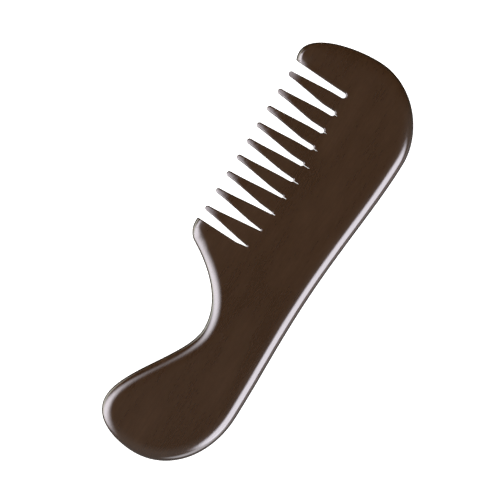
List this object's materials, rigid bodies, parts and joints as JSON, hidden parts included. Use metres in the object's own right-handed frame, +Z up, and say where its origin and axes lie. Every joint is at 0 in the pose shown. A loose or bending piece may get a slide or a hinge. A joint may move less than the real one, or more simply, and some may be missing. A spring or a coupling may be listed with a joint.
{
  "type": "beard comb",
  "caption": "One-piece handled beard comb: a flat rounded plate with wide tapered teeth between two guards, a hooked finger rest and a short curved handle.",
  "frame": {"origin": "middle of the comb's outline, on the face that it lies on", "axes": "+X from the handle to the head, +Y from the back edge to the tooth tips, +Z up through the thickness"},
  "size_m": [0.1248, 0.04, 0.0045],
  "materials": {
    "dark_horn": "very dark brown horn, polished to a gloss"
  },
  "bodies": {
    "root": {"comb": "dark_horn"}
  },
  "joints": []
}
